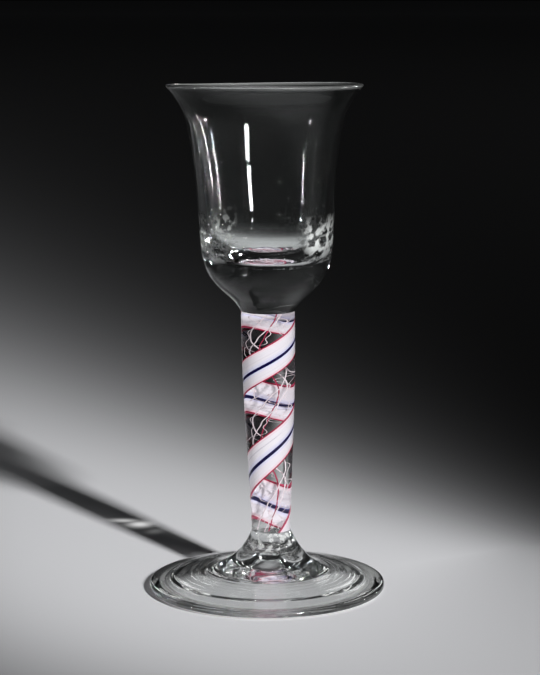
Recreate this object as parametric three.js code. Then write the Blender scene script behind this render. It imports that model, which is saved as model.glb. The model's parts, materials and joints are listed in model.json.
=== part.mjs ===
// Stemmed wine glass with a colour twist stem, in millimetres, +Z up, standing on z = 0 about the foot's centre.
// The front is towards -Y. Angles round the glass are measured from the front towards +X.

import * as THREE from 'three';

const degree = Math.PI / 180;
const fullTurn = 2 * Math.PI;

// Overall
const totalHeight = 165;
const bowlBaseHeight = 92.5;
const neckTopHeight = 19.7;

// Clearances
const fitGap = 0.3;
const jointGap = 0.1;

// The whole glass was set a little off the foot's centre by hand and leans back towards the rim
const neckOffset = 1.45;
const rimOffset = -0.75;
const offsetStartHeight = 2.8;
const offsetFullHeight = 14;

// Bowl
const rimRadius = 31.5;
const lipRadius = 0.6;
const lipHeading = 50;
const waistRadius = 25;
const flareDrop = 12.8;
const waistHeading = 80;
const shoulderRadius = 21.3;
const cupRise = 21.1;
const shoulderHeading = 87;
const cupBellyRadius = 20.3;
const cupBellyRise = 15.5;
const cupBellyHeading = 77;
const cupRootRadius = 12.5;
const cupRootRise = 4.7;
const cupRootHeading = 42;
const cupHeading = 60;
const wallAtWaist = 1.3;
const wallAtShoulder = 2.4;
const solidBase = 16.3;
const innerWaistHeading = 75;
const innerHeading = 86;
const floorEdgeRadius = 9.5;
const floorEdgeRise = 0.5;
const floorEdgeHeading = 8;
const cornerRise = 11;

// Stem
const stemTopRadius = 8.75;
const stemWaistRadius = 6.4;
const stemWaistHeight = 21.5;
const stemTaper = 0.038;
const stemSwellHeight = 86;
const casingWall = 0.7;
const channelDepth = 1.15;

// Foot
const footRadius = 38.8;
const footEdgeHeight = 2.8;
const footEdgeRound = 0.7;
const edgeBulge = 1.6;
const restRingOuter = 35;
const restRingWidth = 1.6;
const underEdgeHeading = 12;
const foldWidth = 6.4;
const foldRise = 0.3;
const foldEdgeRound = 3;
const brimHeight = 3.9;
const brimHeading = 168;
const brimStep = 1;
const coneHeight = 4.7;
const coneHeading = 167;
const coneWall = 1.9;
const flareRadius = 13;
const flareHeight = 10.2;
const flareHeading = 139;
const neckLip = 0.2;
const neckHeading = 112;
const kickHeight = 8.6;
const kickRadius = 9;
const kickBase = 5;
const kickSlope = -50;
const kickHeading = -6;
const pontilRadius = 3;
const pontilHeight = 0.6;

// Twist, one turn per pitch: the stem was drawn out more at the waist than at the top
const pitchAtTop = 27.3;
const pitchAtWaist = 38.2;
const pitchChangeStart = 30;
const pitchChangeEnd = 80;
const blueFrontHeight = 76.4;

// Canes in the outer channel, as widths round the stem's top
const blueWidth = 1.7;
const redWidth = 0.9;
const upperWhiteWidth = 8.5;
const lowerWhiteWidth = 6.4;

// Threads inside the core, with their distance from the axis at the stem's top
const threadRadius = 0.35;
const whiteThreadDistance = 3.9;
const redThreadDistance = 2.1;
const whiteThreadAngleA = 154;
const whiteThreadAngleB = 217;
const redThreadAngle = 228;

// Fineness of the facets
const roundSteps = 40;
const curveSteps = 4;
const twistLevels = 40;
const whiteArcSteps = 4;
const coreArcSteps = 9;
const threadSides = 6;

// Colours
const clearGlass = { color: 0xdfe6e2, roughness: 0.04, metalness: 0, transparent: true, opacity: 0.35 };
const whiteEnamel = { color: 0xece8ee, roughness: 0.25, metalness: 0 };
const blueGlass = { color: 0x1c1f5c, roughness: 0.15, metalness: 0 };
const redGlass = { color: 0xb5173a, roughness: 0.15, metalness: 0 };

function blend(start, end, value) {
  const share = THREE.MathUtils.clamp((value - start) / (end - start), 0, 1);
  return share * share * (3 - 2 * share);
}

// How far the glass's axis lies to +X of the foot's centre at a height
function offsetAt(height) {
  const lean = (rimOffset - neckOffset) / (totalHeight - offsetFullHeight);
  const straight = neckOffset + lean * Math.max(height - offsetFullHeight, 0);
  return straight * blend(offsetStartHeight, offsetFullHeight, height);
}

function shiftToAxis(geometry) {
  const position = geometry.attributes.position;
  for (let i = 0; i < position.count; i += 1) {
    position.setX(i, position.getX(i) + offsetAt(position.getZ(i)));
  }
  return geometry;
}

// Carries an outline on to a point in a smooth curve between two headings, in degrees above outward
function bendTo(path, radius, height, startHeading, endHeading) {
  const from = path.currentPoint;
  const reach = 0.35 * Math.hypot(radius - from.x, height - from.y);
  const start = startHeading * degree;
  const end = endHeading * degree;
  path.bezierCurveTo(
    from.x + reach * Math.cos(start),
    from.y + reach * Math.sin(start),
    radius - reach * Math.cos(end),
    height - reach * Math.sin(end),
    radius,
    height
  );
}

// Turns an outline of radius and height round the glass's axis
function revolve(path) {
  const geometry = new THREE.LatheGeometry(path.getPoints(curveSteps), roundSteps);
  geometry.rotateX(90 * degree);
  return shiftToAxis(geometry);
}

function polar(radius, angle) {
  return new THREE.Vector2(radius * Math.sin(angle), -radius * Math.cos(angle));
}

function arc(radius, startAngle, endAngle, steps) {
  const points = [];
  for (let i = 0; i <= steps; i += 1) {
    points.push(polar(radius, THREE.MathUtils.lerp(startAngle, endAngle, i / steps)));
  }
  return points;
}

// The stem's outer radius: it swells to its top radius, and tapers down to the waist above the foot
function stemRadiusAt(height) {
  const length = stemSwellHeight - stemWaistHeight;
  const share = THREE.MathUtils.clamp((height - stemWaistHeight) / length, 0, 1);
  const taper = stemTaper * length * share * (1 - share) ** 2;
  return stemWaistRadius + (stemTopRadius - stemWaistRadius) * blend(0, 1, share) + taper;
}

function boreRadiusAt(height) {
  return stemRadiusAt(height) - casingWall;
}

function coreRadiusAt(height) {
  return boreRadiusAt(height) - fitGap;
}

// Turns made from the height where the pitch starts to change up to this height
function turnsBelow(height) {
  const waistRate = 1 / pitchAtWaist;
  const rateChange = 1 / pitchAtTop - waistRate;
  const span = pitchChangeEnd - pitchChangeStart;
  const share = THREE.MathUtils.clamp((height - pitchChangeStart) / span, 0, 1);
  const changed = rateChange * span * (share ** 3 - share ** 4 / 2);
  const past = rateChange * Math.max(height - pitchChangeEnd, 0);
  return waistRate * (height - pitchChangeStart) + changed + past;
}

function twistAt(height) {
  return fullTurn * (turnsBelow(height) - turnsBelow(blueFrontHeight));
}

// How much longer a level cut across a cane is than a cut square to it, at this distance from the axis
function slantAt(height, radius) {
  const rise = 1;
  const turning = (twistAt(height + rise / 2) - twistAt(height - rise / 2)) / rise;
  return Math.hypot(1, radius * turning);
}

// A clearance beside a cane as an angle round the stem
function sideGapAt(height) {
  const radius = coreRadiusAt(height);
  return fitGap * slantAt(height, radius) / radius;
}

// The angles that the canes' edges keep all the way up, counted from the middle of the blue thread
function widthAngle(width) {
  return width / coreRadiusAt(stemSwellHeight);
}

const blueHalf = widthAngle(blueWidth) / 2;
const upperWhiteEnd = blueHalf + widthAngle(upperWhiteWidth);
const lowerWhiteEnd = blueHalf + widthAngle(lowerWhiteWidth);

// Builds a closed solid through level sections, each a contour with any holes in it
function loft(bottom, top, sectionAt) {
  const points = [];
  const sections = [];
  for (let i = 0; i <= twistLevels; i += 1) {
    const height = THREE.MathUtils.lerp(bottom, top, i / twistLevels);
    const rings = sectionAt(height);
    sections.push(rings);
    points.push(...rings.flat().map((point) => new THREE.Vector3(point.x, point.y, height)));
  }
  const indices = [];
  const perLevel = sections[0].flat().length;
  for (let level = 0; level < twistLevels; level += 1) {
    let ringStart = level * perLevel;
    for (const ring of sections[level]) {
      addRingWall(indices, points, ringStart, ring.length, perLevel);
      ringStart += ring.length;
    }
  }
  addEnd(indices, sections[0], 0, true);
  addEnd(indices, sections[twistLevels], twistLevels * perLevel, false);
  const geometry = new THREE.BufferGeometry().setFromPoints(points);
  geometry.setIndex(indices);
  return shiftToAxis(geometry);
}

// Joins a ring to the one above it, and splits each facet along its shorter diagonal
function addRingWall(indices, points, ringStart, count, perLevel) {
  for (let i = 0; i < count; i += 1) {
    const here = ringStart + i;
    const next = ringStart + (i + 1) % count;
    const above = here + perLevel;
    const aboveNext = next + perLevel;
    const falling = points[next].distanceTo(points[above]);
    const rising = points[here].distanceTo(points[aboveNext]);
    if (falling < rising) {
      indices.push(here, next, above, above, next, aboveNext);
    } else {
      indices.push(here, next, aboveNext, here, aboveNext, above);
    }
  }
}

function addEnd(indices, rings, firstIndex, facesDown) {
  const faces = THREE.ShapeUtils.triangulateShape(rings[0], rings.slice(1));
  for (const [a, b, c] of faces) {
    const order = facesDown ? [c, b, a] : [a, b, c];
    indices.push(...order.map((index) => firstIndex + index));
  }
}

function mesh(name, geometry, look) {
  const material = new THREE.MeshStandardMaterial(look);
  geometry.computeVertexNormals();
  const result = new THREE.Mesh(geometry, material);
  result.name = name;
  return result;
}

// Clear bell bowl: solid cup, thin wall and flared lip
function bowl() {
  const inward = 180;
  const shoulderHeight = bowlBaseHeight + cupRise;
  const waistHeight = totalHeight - flareDrop;
  const floorHeight = bowlBaseHeight + solidBase;
  const lipCentreRadius = rimRadius - lipRadius;
  const lipCentreHeight = totalHeight - lipRadius;
  const lipStart = (lipHeading - 90) * degree;
  const lipOuterRadius = lipCentreRadius + lipRadius * Math.cos(lipStart);
  const lipOuterHeight = lipCentreHeight + lipRadius * Math.sin(lipStart);
  const path = new THREE.Path();
  path.moveTo(0, bowlBaseHeight);
  path.lineTo(stemRadiusAt(bowlBaseHeight), bowlBaseHeight);
  bendTo(path, cupRootRadius, bowlBaseHeight + cupRootRise, cupHeading, cupRootHeading);
  bendTo(path, cupBellyRadius, bowlBaseHeight + cupBellyRise, cupRootHeading, cupBellyHeading);
  path.lineTo(shoulderRadius, shoulderHeight);
  bendTo(path, waistRadius, waistHeight, shoulderHeading, waistHeading);
  bendTo(path, lipOuterRadius, lipOuterHeight, waistHeading, lipHeading);
  path.absarc(lipCentreRadius, lipCentreHeight, lipRadius, lipStart, lipStart + Math.PI, false);
  const waistDown = innerWaistHeading + inward;
  const shoulderDown = innerHeading + inward;
  const floorIn = floorEdgeHeading + inward;
  bendTo(path, waistRadius - wallAtWaist, waistHeight, lipHeading + inward, waistDown);
  bendTo(path, shoulderRadius - wallAtShoulder, floorHeight + cornerRise, waistDown, shoulderDown);
  bendTo(path, floorEdgeRadius, floorHeight + floorEdgeRise, shoulderDown, floorIn);
  bendTo(path, 0, floorHeight, floorIn, inward);
  return mesh('bowl', revolve(path), clearGlass);
}

// Clear foot: folded edge on a flat resting ring, hollow cone with a domed kick, and neck up to the stem
function foot() {
  const foldInner = footRadius - foldWidth;
  const underHeading = coneHeading + 180;
  const edgeInner = footRadius - footEdgeRound;
  const pontil = kickHeight - pontilHeight;
  const neckTop = neckTopHeight - jointGap;
  const path = new THREE.Path();
  path.moveTo(0, pontil);
  path.lineTo(pontilRadius, pontil);
  path.lineTo(pontilRadius + pontilHeight, kickHeight);
  bendTo(path, kickRadius, kickBase, kickSlope, kickHeading);
  bendTo(path, foldInner - foldEdgeRound, brimHeight - coneWall, kickHeading, underHeading);
  path.lineTo(foldInner, foldRise);
  path.lineTo(restRingOuter - restRingWidth, 0);
  path.lineTo(restRingOuter, 0);
  bendTo(path, footRadius, edgeBulge, underEdgeHeading, 90);
  bendTo(path, edgeInner, footEdgeHeight, 90, brimHeading);
  path.lineTo(foldInner, brimHeight);
  path.lineTo(foldInner - brimStep, coneHeight);
  bendTo(path, flareRadius, flareHeight, coneHeading, flareHeading);
  bendTo(path, stemRadiusAt(neckTop) + neckLip, neckTop, flareHeading, neckHeading);
  path.lineTo(0, neckTop);
  return mesh('foot', revolve(path), clearGlass);
}

const stemBottom = neckTopHeight;
const stemTop = bowlBaseHeight - jointGap;

// Clear outer gather: a tube over the core and its canes
function stemCasing() {
  const path = new THREE.Path();
  path.moveTo(boreRadiusAt(stemBottom), stemBottom);
  path.lineTo(stemRadiusAt(stemBottom), stemBottom);
  const steps = 2 * curveSteps;
  for (let i = 1; i <= steps; i += 1) {
    const height = THREE.MathUtils.lerp(stemBottom, stemTop, i / steps);
    path.lineTo(stemRadiusAt(height), height);
  }
  for (let i = steps; i >= 0; i -= 1) {
    const height = THREE.MathUtils.lerp(stemBottom, stemTop, i / steps);
    path.lineTo(boreRadiusAt(height), height);
  }
  return mesh('stem_casing', revolve(path), clearGlass);
}

function threadSection(height, distance, angle, radius) {
  const distanceHere = distance * stemRadiusAt(height) / stemTopRadius;
  const angleHere = twistAt(height) + angle * degree;
  const centre = polar(distanceHere, angleHere);
  const outward = polar(1, angleHere);
  const along = new THREE.Vector2(-outward.y, outward.x);
  const slant = slantAt(height, distanceHere);
  const points = [];
  for (let i = 0; i < threadSides; i += 1) {
    const turn = fullTurn * i / threadSides;
    const point = centre.clone();
    point.addScaledVector(outward, radius * Math.cos(turn));
    point.addScaledVector(along, radius * slant * Math.sin(turn));
    points.push(point);
  }
  return points;
}

const threads = [
  { name: 'white_thread_a', distance: whiteThreadDistance, angle: whiteThreadAngleA, look: whiteEnamel },
  { name: 'white_thread_b', distance: whiteThreadDistance, angle: whiteThreadAngleB, look: whiteEnamel },
  { name: 'inner_red_thread', distance: redThreadDistance, angle: redThreadAngle, look: redGlass }
];

// Clear core gather, with a wound channel for the outer canes and a tunnel for each inner thread
function stemCore() {
  const sectionAt = (height) => {
    const twist = twistAt(height);
    const gap = sideGapAt(height);
    const red = widthAngle(redWidth);
    const start = twist - upperWhiteEnd - 3 * gap - red;
    const end = twist + lowerWhiteEnd + 3 * gap + red;
    const radius = coreRadiusAt(height);
    const land = arc(radius, end, start + fullTurn, coreArcSteps);
    const channelFloor = arc(radius - channelDepth, start, end, coreArcSteps);
    const tunnels = threads.map((thread) => {
      const tunnel = threadSection(height, thread.distance, thread.angle, threadRadius + fitGap);
      return tunnel.reverse();
    });
    return [[...land, ...channelFloor], ...tunnels];
  };
  return mesh('stem_core', loft(stemBottom, stemTop, sectionAt), clearGlass);
}

// A flat cane in the channel, from one angle to another, with its share of the gaps on the way to it
function ribbon(name, startAngle, endAngle, gapsBefore, steps, look) {
  const sectionAt = (height) => {
    const shift = twistAt(height) + gapsBefore * sideGapAt(height);
    const outer = coreRadiusAt(height);
    const inner = outer - channelDepth + fitGap;
    const start = startAngle + shift;
    const end = endAngle + shift;
    return [[...arc(outer, start, end, steps), ...arc(inner, end, start, steps)]];
  };
  return mesh(name, loft(stemBottom, stemTop, sectionAt), look);
}

function ribbons() {
  const red = widthAngle(redWidth);
  return [
    ribbon('red_edge_upper', -upperWhiteEnd - red, -upperWhiteEnd, -2, 1, redGlass),
    ribbon('white_tape_upper', -upperWhiteEnd, -blueHalf, -1, whiteArcSteps, whiteEnamel),
    ribbon('blue_thread', -blueHalf, blueHalf, 0, 1, blueGlass),
    ribbon('white_tape_lower', blueHalf, lowerWhiteEnd, 1, whiteArcSteps, whiteEnamel),
    ribbon('red_edge_lower', lowerWhiteEnd, lowerWhiteEnd + red, 2, 1, redGlass)
  ];
}

function threadPiece(thread) {
  const sectionAt = (height) => [threadSection(height, thread.distance, thread.angle, threadRadius)];
  return mesh(thread.name, loft(stemBottom, stemTop, sectionAt), thread.look);
}

const glass = new THREE.Group();
glass.add(bowl(), foot(), stemCasing(), stemCore());
glass.add(...ribbons());
glass.add(...threads.map(threadPiece));

export default glass;
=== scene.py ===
# Stemmed wine glass with a colour twist stem: its looks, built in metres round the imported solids
import json

import bpy
import numpy as np
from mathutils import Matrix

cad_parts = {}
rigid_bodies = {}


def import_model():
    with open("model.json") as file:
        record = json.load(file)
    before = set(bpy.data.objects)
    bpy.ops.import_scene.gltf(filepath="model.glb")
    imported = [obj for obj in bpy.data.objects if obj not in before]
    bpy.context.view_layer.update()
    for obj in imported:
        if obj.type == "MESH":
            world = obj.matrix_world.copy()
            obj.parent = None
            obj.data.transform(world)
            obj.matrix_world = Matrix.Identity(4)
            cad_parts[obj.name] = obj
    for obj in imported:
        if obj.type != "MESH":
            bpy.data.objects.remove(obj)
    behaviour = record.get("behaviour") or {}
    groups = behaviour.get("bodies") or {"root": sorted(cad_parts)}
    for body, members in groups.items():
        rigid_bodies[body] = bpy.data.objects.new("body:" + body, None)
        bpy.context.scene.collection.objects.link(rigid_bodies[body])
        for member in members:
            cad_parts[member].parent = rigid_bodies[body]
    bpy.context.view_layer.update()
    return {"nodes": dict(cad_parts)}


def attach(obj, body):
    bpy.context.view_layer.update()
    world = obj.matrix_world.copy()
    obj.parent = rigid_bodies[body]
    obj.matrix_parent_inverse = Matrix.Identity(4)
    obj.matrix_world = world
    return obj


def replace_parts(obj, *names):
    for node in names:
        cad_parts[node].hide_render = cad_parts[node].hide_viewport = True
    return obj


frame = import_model()
scene = bpy.context.scene
mm = 0.001
fullTurn = 2 * np.pi
print("frame loaded:", len(frame["nodes"]), "solids")

# The glass's axis, set off the foot's centre at the neck and leaning back towards the rim (mm)
axis = {"neckOffset": 1.45, "rimOffset": -0.75, "startHeight": 2.8, "fullHeight": 14.0, "rimHeight": 165.0}

# The stem's outline and the turn of its canes (mm)
stem = {
    "bottom": 19.7, "top": 92.5, "waistRadius": 6.4, "waistHeight": 21.5, "topRadius": 8.75,
    "swellHeight": 86.0, "taper": 0.038, "pitchAtTop": 27.3, "pitchAtWaist": 38.2,
    "pitchChangeStart": 30.0, "pitchChangeEnd": 80.0, "blueFrontHeight": 76.4,
}

roundSteps = 240  # columns round every glass surface, so that their joints meet
capSteps = 4      # rings from the axis to the edge of a joint on the stem
handle = 0.35     # length of a curve's two handles, as a share of its chord


def smoothShare(start, end, value):
    # with s the share of the way from start to end, from 0 to 1: 3 s squared minus 2 s cubed
    s = np.clip((value - start) / (end - start), 0, 1)
    return s * s * (3 - 2 * s)


def axisOffset(z):
    # a straight lean from the neck to the rim, brought in smoothly just above the foot
    lean = (axis["rimOffset"] - axis["neckOffset"]) / (axis["rimHeight"] - axis["fullHeight"])
    straight = axis["neckOffset"] + lean * np.maximum(z - axis["fullHeight"], 0)
    return straight * smoothShare(axis["startHeight"], axis["fullHeight"], z)


def stemRadius(z):
    # a smooth swell from the waist to the top, plus a taper times s times (1 - s) squared
    length = stem["swellHeight"] - stem["waistHeight"]
    s = np.clip((z - stem["waistHeight"]) / length, 0, 1)
    swell = (stem["topRadius"] - stem["waistRadius"]) * smoothShare(0, 1, s)
    return stem["waistRadius"] + swell + stem["taper"] * length * s * (1 - s) ** 2


def turnsBelow(z):
    # one turn per pitch, added up from where the pitch starts to change
    waistRate = 1 / stem["pitchAtWaist"]
    rateChange = 1 / stem["pitchAtTop"] - waistRate
    span = stem["pitchChangeEnd"] - stem["pitchChangeStart"]
    s = np.clip((z - stem["pitchChangeStart"]) / span, 0, 1)
    changed = rateChange * span * (s ** 3 - s ** 4 / 2)
    past = rateChange * np.maximum(z - stem["pitchChangeEnd"], 0)
    return waistRate * (z - stem["pitchChangeStart"]) + changed + past


def twist(z):
    # the angle of those turns, 0 at the height where the blue cane faces the front
    return fullTurn * (turnsBelow(z) - turnsBelow(stem["blueFrontHeight"]))


# Outlines and meshes

def lineTo(path, radius, height, steps):
    # evenly spaced points on a straight line
    share = np.linspace(0, 1, steps + 1)[1:, None]
    leg = path[-1] + share * (np.array([radius, height]) - path[-1])
    return np.vstack([path, leg])


def bendTo(path, radius, height, startHeading, endHeading, steps):
    # a cubic curve with two handles, along headings in degrees above outward
    first, last = path[-1], np.array([radius, height], float)
    reach = handle * np.hypot(*(last - first))
    headings = np.radians([startHeading, endHeading])
    tangents = np.stack([np.cos(headings), np.sin(headings)], axis=1)
    controls = np.stack([first, first + reach * tangents[0], last - reach * tangents[1], last])
    t = np.linspace(0, 1, steps + 1)[1:, None]
    weights = np.hstack([(1 - t) ** 3, 3 * t * (1 - t) ** 2, 3 * t ** 2 * (1 - t), t ** 3])
    return np.vstack([path, weights @ controls])


def arcTo(path, centre, radius, start, end, steps):
    # points on a circle round centre, from one heading to another in degrees
    angles = np.radians(np.linspace(start, end, steps + 1)[1:])
    leg = np.stack([centre[0] + radius * np.cos(angles), centre[1] + radius * np.sin(angles)], axis=1)
    return np.vstack([path, leg])


def drawn(start, legs, steps):
    # an outline from its start along legs: (radius, height) is a line, with two headings more a curve, and a
    # centre, a radius and two headings are an arc. Each leg takes its own number of steps
    path = np.array([start], float)
    for leg, count in zip(legs, steps.values()):
        go = lineTo if len(leg) == 2 else arcTo if isinstance(leg[0], tuple) else bendTo
        path = go(path, *leg, count)
    return path


def ringFaces(rows, columns):
    # quads between rings of points, and at each end a fan to a point that is numbered after them all
    row, column = np.meshgrid(np.arange(rows - 1), np.arange(columns), indexing="ij")
    after = (column + 1) % columns
    first = row * columns
    quads = np.stack([first + column, first + after, first + columns + after, first + columns + column],
                     axis=2).reshape(-1, 4)
    column = np.arange(columns)
    after = (column + 1) % columns
    last = (rows - 1) * columns
    startFan = np.stack([np.full(columns, rows * columns), after, column], axis=1)
    endFan = np.stack([np.full(columns, rows * columns + 1), last + column, last + after], axis=1)
    return quads, startFan, endFan


def makeMesh(name, points, faces, materials, faceSlots=None, uv=None, creaseAngle=35):
    # points in mm; uv is one pair for every face corner
    mesh = bpy.data.meshes.new(name)
    mesh.from_pydata((points * mm).tolist(), [], faces)
    for material in materials:
        mesh.materials.append(material)
    mesh.polygons.foreach_set("use_smooth", np.ones(len(mesh.polygons), bool))
    if faceSlots is not None:
        mesh.polygons.foreach_set("material_index", np.asarray(faceSlots, np.int32))
    if uv is not None:
        mesh.uv_layers.new(name="along").data.foreach_set("uv", np.asarray(uv, np.float32).ravel())
    mesh.set_sharp_from_angle(angle=np.radians(creaseAngle))
    mesh.validate()
    mesh.update()
    piece = bpy.data.objects.new(name, mesh)
    scene.collection.objects.link(piece)
    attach(piece, "root")
    return piece


def turnedSurface(outline, wobble=None, lift=None):
    # an outline of radius and height carried round the leaning axis: x = offset(z) + r sin a, y = -r cos a.
    # wobble moves it in and out, lift up. Its ends are points on the axis, and faces have their step's number
    angles = np.linspace(0, fullTurn, roundSteps, endpoint=False)
    ring = outline[1:-1]
    share = np.arange(len(ring))[:, None] / (len(ring) - 1)
    a = np.broadcast_to(angles, (len(ring), roundSteps))
    r = np.broadcast_to(ring[:, :1], a.shape)
    z = np.broadcast_to(ring[:, 1:], a.shape)
    r = r + wobble(a, r, z) if wobble else r
    height = z + lift(a, r, z, share) if lift else z
    grid = np.stack([axisOffset(z) + r * np.sin(a), -r * np.cos(a), height], axis=2).reshape(-1, 3)
    ends = outline[[0, -1]]
    poles = np.stack([axisOffset(ends[:, 1]), np.zeros(2), ends[:, 1]], axis=1)
    quads, startFan, endFan = ringFaces(len(ring), roundSteps)
    steps = np.concatenate([np.repeat(np.arange(1, len(ring)), roundSteps), np.zeros(roundSteps, int),
                            np.full(roundSteps, len(ring))])
    return np.vstack([grid, poles]), quads.tolist() + startFan.tolist() + endFan.tolist(), steps


def makeTube(name, section, z, across, material):
    # sections stacked along the height, joined ring to ring, with a centre point closing each end. A face
    # corner's UV is the height and the share across of its point, and 0.5 across at the two centres
    levels, count = section.shape[:2]
    quads, startFan, endFan = ringFaces(levels, count)
    faces = quads.tolist() + startFan.tolist() + endFan.tolist()
    points = np.vstack([section.reshape(-1, 3), section[0].mean(0), section[-1].mean(0)])
    uv = np.stack([np.repeat(z.ravel(), count), np.tile(across, levels)], axis=1)
    uv = np.vstack([uv, [[z[0, 0], 0.5], [z[-1, 0], 0.5]]])
    return makeMesh(name, points, faces, [material], uv=uv[np.concatenate(faces)], creaseAngle=60)


# Materials

def newMaterial(name):
    material = bpy.data.materials.new(name)
    material.use_nodes = True
    material.node_tree.nodes.clear()
    return material, material.node_tree


def addNode(tree, kind, inputs=None, **settings):
    # one node with its settings, and each named input linked to a socket or given a value
    made = tree.nodes.new(kind)
    for key, value in settings.items():
        setattr(made, key, value)
    for key, value in (inputs or {}).items():
        if isinstance(value, bpy.types.NodeSocket):
            tree.links.new(value, made.inputs[key])
        else:
            made.inputs[key].default_value = value
    return made


def calculate(tree, operation, *values):
    return addNode(tree, "ShaderNodeMath", dict(enumerate(values)), operation=operation).outputs[0]


def times(tree, product, *factors):
    # the product of two or more numbers
    for factor in factors:
        product = calculate(tree, "MULTIPLY", product, factor)
    return product


def vectorMath(tree, operation, *values, output=0):
    return addNode(tree, "ShaderNodeVectorMath", dict(enumerate(values)), operation=operation).outputs[output]


def scaled(tree, colour, factor):
    return addNode(tree, "ShaderNodeVectorMath", {0: colour, "Scale": factor}, operation="SCALE").outputs[0]


def dotted(tree, place, direction):
    # how far a place lies along a direction, times its length
    return vectorMath(tree, "DOT_PRODUCT", place, direction, output="Value")


def remap(tree, value, fromMin, fromMax, toMin=0.0, toMax=1.0):
    # a value's share of the way between two numbers, kept between 0 and 1 and laid out between two others
    inputs = {"Value": value, "From Min": fromMin, "From Max": fromMax, "To Min": toMin, "To Max": toMax}
    return addNode(tree, "ShaderNodeMapRange", inputs).outputs["Result"]


def noise(tree, place, scale, detail, roughness=0.5):
    inputs = {"Vector": place, "Scale": scale, "Detail": detail, "Roughness": roughness}
    return addNode(tree, "ShaderNodeTexNoise", inputs).outputs["Fac"]


def raised(tree, height, distance, strength=1.0, under=None):
    # the bumps of a height map whose full range is so many metres high, on top of those under them
    inputs = {"Height": height, "Strength": strength, "Distance": distance}
    if under:
        inputs["Normal"] = under
    return addNode(tree, "ShaderNodeBump", inputs).outputs["Normal"]


def combined(tree, x, y, z=0.0):
    return addNode(tree, "ShaderNodeCombineXYZ", {"X": x, "Y": y, "Z": z}).outputs[0]


def split(tree, vector):
    return addNode(tree, "ShaderNodeSeparateXYZ", {"Vector": vector}).outputs


def rampOf(tree, factor, stops):
    # a colour ramp from (position, colour) stops
    made = addNode(tree, "ShaderNodeValToRGB", {"Fac": factor})
    band = made.color_ramp
    while len(band.elements) < len(stops):
        band.elements.new(0.5)
    for element, (position, colour) in zip(band.elements, stops):
        element.position = position
        element.color = (*colour, 1)
    return made.outputs["Color"]


def mixed(tree, factor, first, second, **settings):
    inputs = {"Factor": factor, 6: first, 7: second}
    return addNode(tree, "ShaderNodeMix", inputs, data_type="RGBA", **settings).outputs[2]


def objectPlace(tree):
    return addNode(tree, "ShaderNodeTexCoord").outputs["Object"]


def principled(tree, inputs):
    return addNode(tree, "ShaderNodeBsdfPrincipled", inputs).outputs[0]


def transparent(tree, colour):
    return addNode(tree, "ShaderNodeBsdfTransparent", {"Color": colour}).outputs[0]


def setSurface(tree, shader):
    addNode(tree, "ShaderNodeOutputMaterial", {"Surface": shader})


def outFromAxis(tree, xyz):
    # the distance from the upright axis through the foot's centre
    return vectorMath(tree, "LENGTH", combined(tree, xyz["X"], xyz["Y"]), output="Value")


# clear glass, lengths in mm
glassLook = {
    "tint": (0.955, 0.975, 0.965),
    "tintDeep": (0.93, 0.955, 0.942),
    "refraction": 1.53,
    "waveSize": 14.0, "waveHeight": 0.010,
    "grainSize": 1.6, "grainHeight": 0.0006,
    "striae": (700, 700, 12), "striaeHeight": 0.003,  # lines per metre across and along the axis
    "roughness": 0.012, "smudge": 0.03,      # all over, and where it is most handled
    "smudgeFrom": 0.45, "smudgeFull": 0.75,  # the waves' value where smudges begin, and where they are full
    "smudgeWear": 1.3,     # share of the wear that a full smudge adds
    "leaving": 0.95,       # share that a lamp's ray keeps where it comes out of the glass
    "square": 0.57, "grazing": 0.75,  # Layer Weight up to which a ray is square on, and from which it grazes
    "grazingShare": 0.1,   # share that a grazing ray keeps
    "diffuseShare": 0.9,   # share that a ray between dull surfaces keeps at each face
}
# uneven glass: how far its edges fade (mm), and the lumps' value where painted white glints begin and are
# full
zoneFade = {"side": 0.3, "low": 2, "high": 9, "paintedGlints": 3, "paintedGlintsFrom": 0.48, "paintedGlintsFull": 0.58}


def ringLines(tree, place, rings, under):
    # fine lines round the axis, each fading and coming back along its way round
    xyz = split(tree, place)
    turned = calculate(tree, "ARCTAN2", xyz["Y"], xyz["X"])
    unrolled = combined(tree, times(tree, outFromAxis(tree, xyz), rings["perMetre"]),
                        times(tree, turned, rings["perRadian"]))
    return raised(tree, noise(tree, unrolled, 1.0, 2.0, 0.6), rings["height"] * mm, under=under)


def unevenGlass(tree, place, lumps, under):
    # lumps inside a radius and between two heights, and the share of white that paints broken glints among
    # them from a distance left and right of the axis on
    xyz = split(tree, place)
    uneven = noise(tree, place, 1 / (lumps["size"] * mm), 3.0)
    radius, low, high = lumps["radius"], lumps["low"], lumps["high"]
    within = remap(tree, outFromAxis(tree, xyz), radius * mm, (radius + zoneFade["side"]) * mm, 1.0, 0.0)
    above = remap(tree, xyz["Z"], low * mm, (low + zoneFade["low"]) * mm)
    below = remap(tree, xyz["Z"], high * mm, (high + zoneFade["high"]) * mm, 1.0, 0.0)
    share = times(tree, above, below, within)
    relief = raised(tree, uneven, lumps["rise"] * mm, share, under)
    if "paintedGlints" not in lumps:
        return relief, None
    aside = calculate(tree, "ABSOLUTE", xyz["X"])
    sides = remap(tree, aside, lumps["paintedGlintsFrom"] * mm, (lumps["paintedGlintsFrom"] + zoneFade["paintedGlints"]) * mm)
    broken = remap(tree, uneven, zoneFade["paintedGlintsFrom"], zoneFade["paintedGlintsFull"], 0.0, lumps["paintedGlints"])
    return relief, times(tree, share, sides, broken)


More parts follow.
